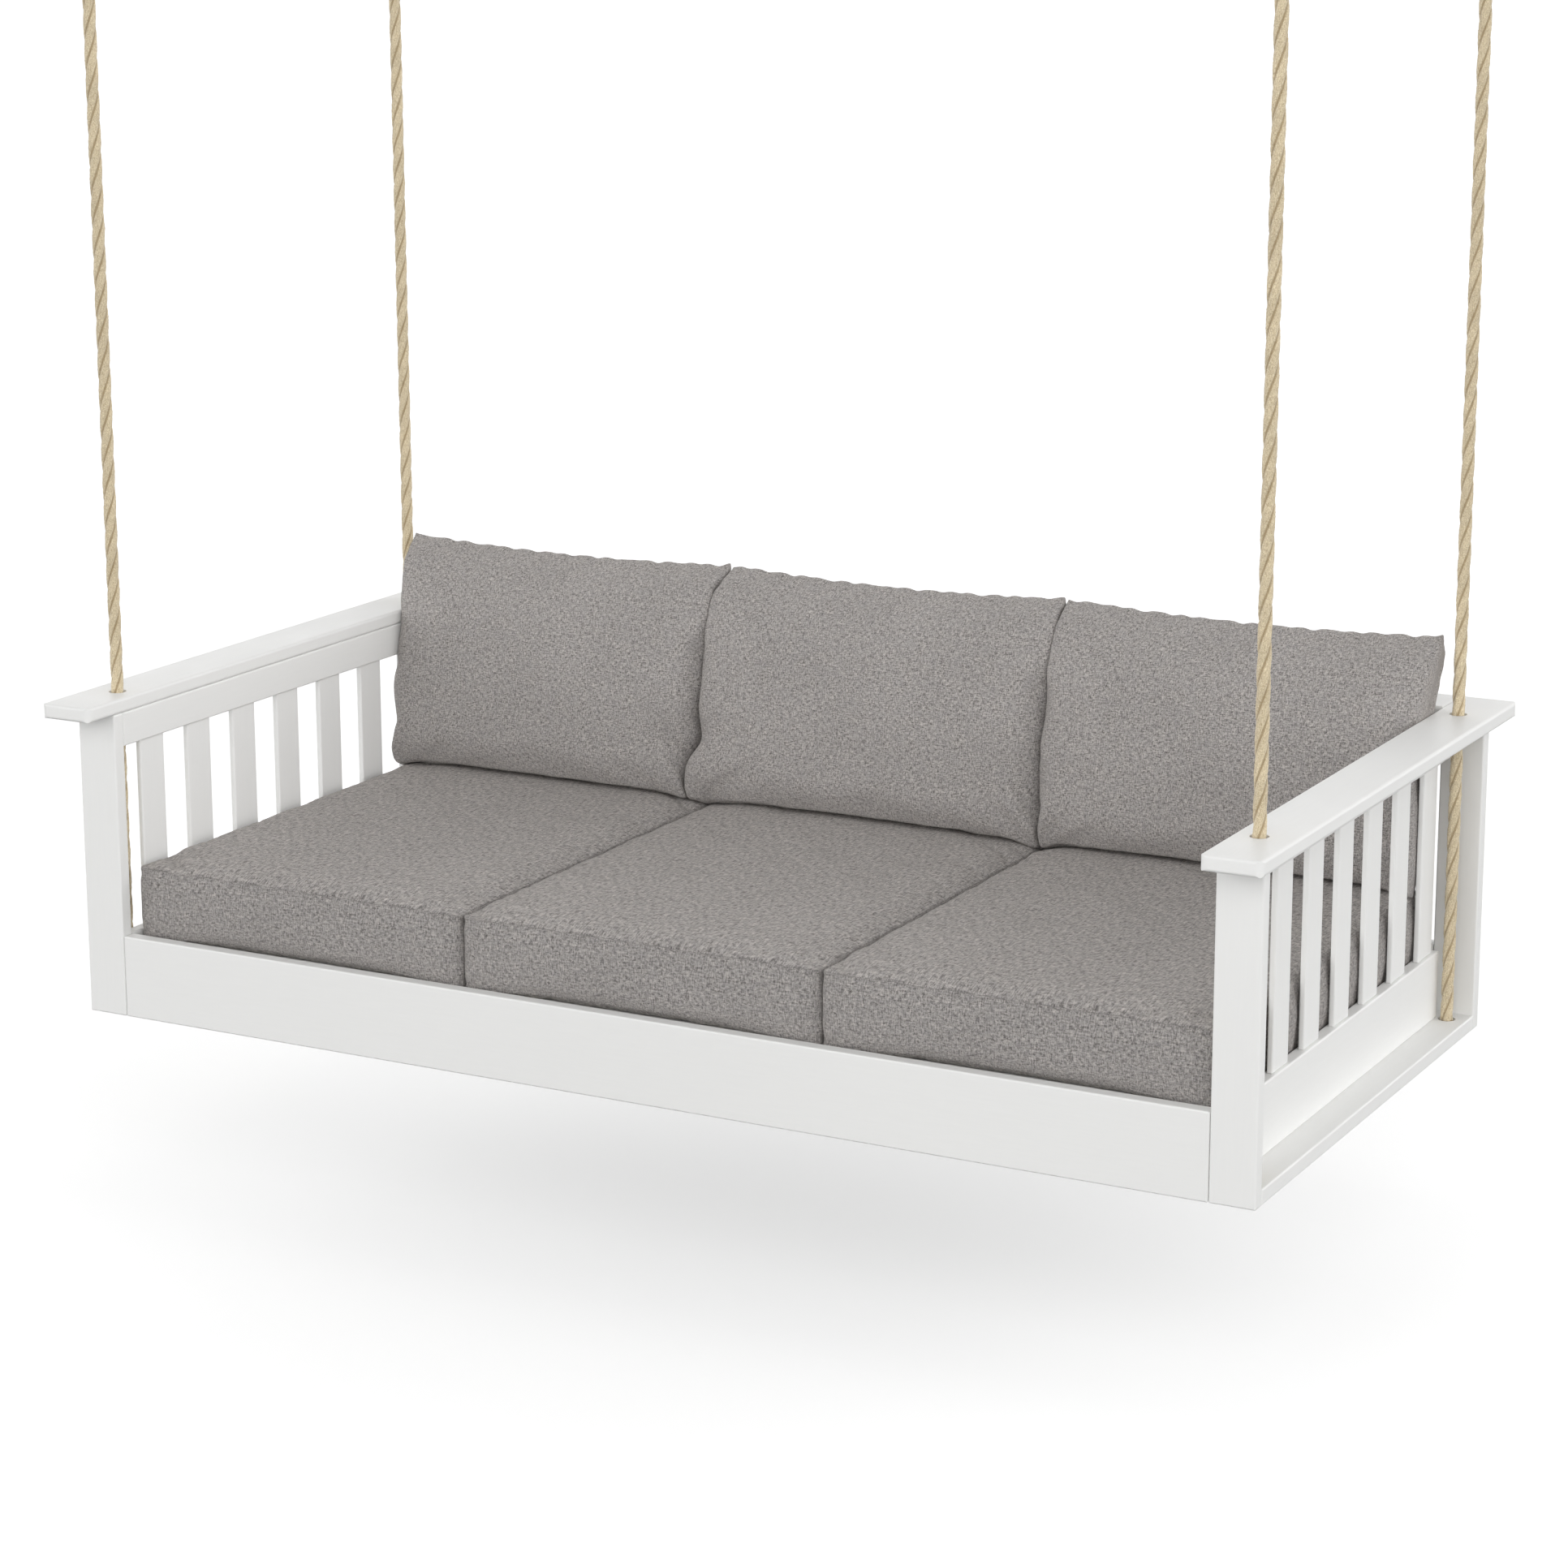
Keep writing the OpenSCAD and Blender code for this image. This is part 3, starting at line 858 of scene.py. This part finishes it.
def make_seat_cushion(place, cloth):
    """A boxed cushion: crowned panels, a boxing strip, and a sewn seam at top and bottom."""
    low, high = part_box(f"seat_cushion_{place}")
    low.x += 0 if place == "left" else SEAT_SHIFT
    high.x += 0 if place == "right" else SEAT_SHIFT
    middle = np.array((low + high) / 2)
    half_x = (high.x - low.x) / 2 - SEAT_INSET_X
    half_y = (high.y - low.y) / 2 - SEAT_INSET_Y
    bottom = low.z - middle[2] + SEAT_INSET_BOTTOM
    top = high.z - middle[2] - SEAT_INSET_TOP
    xs = cell_edges(half_x)
    ys = cell_edges(half_y)
    zs = cell_edges((top - bottom) / 2) + (top + bottom) / 2
    obj = box_mesh(f"seat_cover_{place}", xs, ys, zs)
    grid = get_points(obj)
    side_gap = np.minimum(half_x - np.abs(grid[:, 0]), half_y - np.abs(grid[:, 1]))
    face_gap = np.minimum(top - grid[:, 2], grid[:, 2] - bottom)
    seam = np.maximum(side_gap, face_gap)
    on_side = half_x - np.abs(grid[:, 0]) < half_y - np.abs(grid[:, 1])
    keep_values(obj, "seam", seam)
    keep_values(obj, "along", np.where(on_side, grid[:, 1], grid[:, 0]))
    points = round_corners(grid, half_x, half_y, SEAT_CORNER_R)
    wave = 1.2 * MM * ripple(points[:, 0] + points[:, 1], 0.13, 10 + PLACES.index(place))
    points[:, 2] += np.where(grid[:, 2] > 0, wave, 0) * np.exp(-face_gap / (30 * MM))
    set_points(obj, points)
    inflate(obj, SEAT_CROWN, seam < 1e-6)
    subdivide(obj)
    finish_seat(obj, place, half_x, half_y, bottom)
    set_points(obj, get_points(obj) + middle)
    finish_cushion(obj, f"seat_cushion_{place}", cloth)
    return obj


def finish_seat(obj, place, half_x, half_y, bottom):
    """Seam grooves, puckers and soft dents on a swollen seat cushion."""
    seed = 20 + PLACES.index(place)
    points, normals = get_points(obj), get_normals(obj)
    seam, along = get_values(obj, "seam"), get_values(obj, "along")
    pucker = valleys(along, 31 * MM, seed) * np.exp(-seam / (14 * MM))
    groove = np.exp(-((seam / (1.8 * MM)) ** 2))
    dents = ripple(points[:, 0], 0.21, seed + 20)
    dents = dents * ripple(points[:, 1] + points[:, 2], 0.26, seed + 30)
    push = -0.6 * MM * pucker - 0.9 * MM * groove + 1.5 * MM * dents * smooth_step(seam, 0, 0.05)
    points += normals * push[:, None]
    inner = smooth_step(1 - np.abs(points[:, 0]) / half_x, 0, 0.6)
    low = np.exp(-(((points[:, 2] - bottom) / (20 * MM)) ** 2))
    front = np.exp(-(((points[:, 1] + half_y) / (40 * MM)) ** 2))
    points[:, 2] += SEAT_LIFT * inner * low * front
    left = half_x + (SEAT_BULGE if place == "left" else 2 * MM)
    right = half_x + (SEAT_BULGE if place == "right" else 2 * MM)
    points[:, 0] = np.clip(points[:, 0], -left, right)
    points[:, 1] = np.clip(points[:, 1], -half_y - SEAT_BULGE, half_y + SEAT_BULGE)
    points[:, 2] = soft_floor(points[:, 2], bottom - 0.5 * MM, 0.5 * MM)
    set_points(obj, points)


def pillow_grid(width):
    """Two panels of cloth which share the seam all round. Gives each point as (across, side,
    up), from -1 to 1, the faces, and the side of each face: -1 for the front, 1 for the back."""
    nx = round(width / PILLOW_CELL)
    nz = round(PILLOW_LEN / PILLOW_CELL)
    numbers, spots, faces, face_sides = {}, [], [], []
    for side in (-1, 1):
        for i in range(nx):
            for j in range(nz):
                corners = [(i, j), (i + 1, j), (i + 1, j + 1), (i, j + 1)]
                face = []
                for a, b in corners[::-side]:
                    edge = a in (0, nx) or b in (0, nz)
                    key = (a, b, 0 if edge else side)
                    if key not in numbers:
                        numbers[key] = len(spots)
                        spots.append((2 * a / nx - 1, 0 if edge else side, 2 * b / nz - 1))
                    face.append(numbers[key])
                faces.append(face)
                face_sides.append(side)
    return np.array(spots, float), faces, face_sides


def round_wall(share, half, depth, radius):
    """A pillow's section from its side seam to its middle: along the wall, round the corner and
    across the face. Gives the way in, the way out from the seam, and the length from it."""
    radius = np.minimum(radius, depth)
    wall = depth - radius
    bend = radius * math.pi / 2
    length = share * (wall + bend + half - radius)
    turn = np.clip((length - wall) / np.maximum(radius, 1e-6), 0, math.pi / 2)
    inwards = radius * (1 - np.cos(turn)) + np.maximum(length - wall - bend, 0)
    outwards = np.minimum(length, wall) + radius * np.sin(turn)
    return inwards, outwards, length


def pillow_sides(place, height):
    """Left and right edges of a back cushion at a height above the seat. It spreads over the
    arm, and the foot of the middle cushion pushes the left one aside."""
    over_arm = PILLOW_OUTER - 5 * MM * smooth_step(height, 0.14, 0.19)
    over_arm = over_arm + 17 * MM * smooth_step(height, 0.289, 0.42)
    foot = 24 * MM * (1 - smooth_step(height, 0.07, 0.13))
    ear = 14 * MM * smooth_step(height, 0.36, 0.42)
    first_joint = PILLOW_JOINTS[0] - foot + ear
    second_joint = np.full_like(over_arm, PILLOW_JOINTS[1])
    joints = [-over_arm, first_joint, second_joint, over_arm]
    number = PLACES.index(place)
    return joints[number] + JOINT_GAP, joints[number + 1] - JOINT_GAP


def curve_at(share, corners):
    """Points (y, z) along a smooth curve through corners in mm, at shares of its length."""
    route = even_path([(0, y * MM, z * MM) for y, z in corners], 4 * MM)
    spots = np.linspace(0, 1, len(route))
    return np.interp(share, spots, route[:, 1]), np.interp(share, spots, route[:, 2])


def make_back_cushion(place, cloth, seat_map):
    """A knife-edge cushion that leans on the back, with its foot pressed on the seat."""
    low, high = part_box(f"back_cushion_{place}")
    seed = 50 + 3 * PLACES.index(place)
    width = high.x - low.x
    spots, faces, face_sides = pillow_grid(width)
    across, side, up = spots.T
    points, edge_x, reach = pillow_shape(place, across, side, up)
    edge_z = (1 - np.abs(up)) * PILLOW_LEN / 2
    seam = np.minimum(edge_x, edge_z)
    upright = edge_x < edge_z
    along = np.where(upright, up * PILLOW_LEN / 2, across * width / 2)
    scallop = PILLOW_SCALLOP * valleys(along, SCALLOP_STEP, seed + 1) * np.exp(-seam / (18 * MM))
    points[:, 0] -= np.where(upright, np.sign(across) * scallop * 0.3, 0)
    points[:, 1] += np.where(upright | (up > 0), 0, scallop)
    points[:, 2] -= np.where(upright | (up < 0), 0, scallop)
    uvs = [
        (reach[i] + 2 * face_side, up[i] * PILLOW_LEN / 2)
        for face, face_side in zip(faces, face_sides)
        for i in face
    ]
    obj = make_object(f"back_cover_{place}", points, faces, uvs)
    keep_values(obj, "seam", seam + NO_STITCHES)
    keep_values(obj, "edge", seam)
    keep_values(obj, "along", along)
    press_pillow(obj, place, seat_map)
    inflate(obj, PILLOW_SWELL, seam < 1e-6)
    subdivide(obj)
    finish_pillow(obj, place, seed, seat_map)
    set_points(obj, get_points(obj) + np.array([0, 0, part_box("seat_cushion_left")[1].z]))
    finish_cushion(obj, f"back_cushion_{place}", cloth)


def pillow_shape(place, across, side, up):
    """A leaning pillow, in height above the seat. Gives its points, and for each point the
    cloth's length from the side seam and from the middle."""
    share = (up + 1) / 2
    seam_y, seam_z = curve_at(share, PILLOW_SEAM)
    front_y, front_z = curve_at(share, PILLOW_FRONT)
    back_y, back_z = curve_at(share, PILLOW_BACK)
    face_y = np.where(side < 0, front_y, back_y)
    face_z = np.where(side < 0, front_z, back_z)
    depth = np.maximum(np.abs(face_y - seam_y), 1e-6)
    left, right = pillow_sides(place, seam_z)
    half = (right - left) / 2
    radius = np.where(across < 0, *PILLOW_ROUND[place])
    fade = smooth_step(seam_z, 0.02, 0.09) * (1 - 0.85 * smooth_step(seam_z, 0.24, 0.34))
    radius = np.where(side < 0, radius * fade, PILLOW_BACK_ROUND)
    inwards, outwards, length = round_wall(1 - np.abs(across), half, depth, radius)
    full = outwards / depth * (0.94 + 0.06 * smooth_step(inwards, 0, 0.25))
    full = np.where(side == 0, 0, full)
    x = (left + right) / 2 + np.sign(across) * (half - inwards)
    y = seam_y + full * (face_y - seam_y)
    z = seam_z + full * (face_z - seam_z)
    z = z - PILLOW_DIP * (1 - across**2) * share**3
    corner = np.clip(np.abs(across) - 0.94, 0, 1) * np.clip(up - 0.92, 0, 1) / (0.06 * 0.08)
    behind = (across > 0) | (place == "left")
    z = z + np.where(behind, EAR_UP, EAR_DOWN) * corner
    total = length / np.maximum(1 - np.abs(across), 1e-9)
    reach = np.sign(across) * np.where(np.abs(across) < 1, total - length, 0)
    return np.stack([x, y, z], axis=1), length, reach


def map_seats(seats):
    """A search tree of the seat cushions' upper points, seen from above, and their heights."""
    points = np.concatenate([get_points(seat) for seat in seats])
    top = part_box("seat_cushion_left")[1].z
    points = points[points[:, 2] > top - 30 * MM]
    tree = KDTree(len(points))
    for i, (x, y, _) in enumerate(points):
        tree.insert((x, y, 0), i)
    tree.balance()
    return tree, points[:, 2] - top


def seat_heights(points, seat_map):
    """Height of the seat cushions, above their CAD top, below each point."""
    tree, heights = seat_map
    return heights[[tree.find((x, y, 0))[1] for x, y, _ in points]]


def press_pillow(obj, place, seat_map):
    """Keeps a back cushion off the seat, its neighbours, the arms and the back."""
    points = get_points(obj)
    left, right = pillow_sides(place, points[:, 2])
    seat = seat_heights(points, seat_map) + SEAT_GAP
    points[:, 2] = soft_floor(points[:, 2], seat, SEAT_GAP)
    points[:, 0] = soft_floor(points[:, 0], left, JOINT_GAP)
    points[:, 0] = -soft_floor(-points[:, 0], -right, JOINT_GAP)
    points[:, 1] = -soft_floor(-points[:, 1], -PILLOW_REAR_Y, 1.0 * MM)
    set_points(obj, points)


def finish_pillow(obj, place, seed, seat_map):
    """Puckers and soft dents on a swollen back cushion, and its flat foot."""
    points, normals = get_points(obj), get_normals(obj)
    edge, along = get_values(obj, "edge"), get_values(obj, "along")
    pucker = valleys(along, SCALLOP_STEP, seed + 1) * np.exp(-edge / (22 * MM))
    pucker = pucker * smooth_step(edge, 0, 6 * MM)
    dents = ripple(points[:, 0], 0.19, seed + 5) * ripple(points[:, 2], 0.17, seed + 6)
    push = -2.2 * MM * pucker + 2.0 * MM * dents * smooth_step(edge, 0, 0.06)
    set_points(obj, points + normals * push[:, None])
    press_pillow(obj, place, seat_map)


def finish_cushion(obj, node, cloth):
    """Covers a cushion in its cloth and puts it in place of its CAD node."""
    obj.data.materials.clear()
    obj.data.materials.append(cloth)
    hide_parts(node)
    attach(obj, "frame")


# The scene ----------------------------------------------------------------

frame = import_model()
make_camera()
fibre = rope_fibre("rope_fibre")
for end in ENDS:
    for side in SIDES:
        make_rope(end, side, fibre)
dress_frame(frame)
seat_cloth = tweed("seat_tweed", 3.2, 0.27)
back_cloth = tweed("back_tweed", 1.0, 0.30)
seats = [make_seat_cushion(place, seat_cloth) for place in PLACES]
seat_map = map_seats(seats)
for place in PLACES:
    make_back_cushion(place, back_cloth, seat_map)
make_world()
make_key_light()
make_floor(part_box("front_rail")[0].z - FLOOR_DROP)
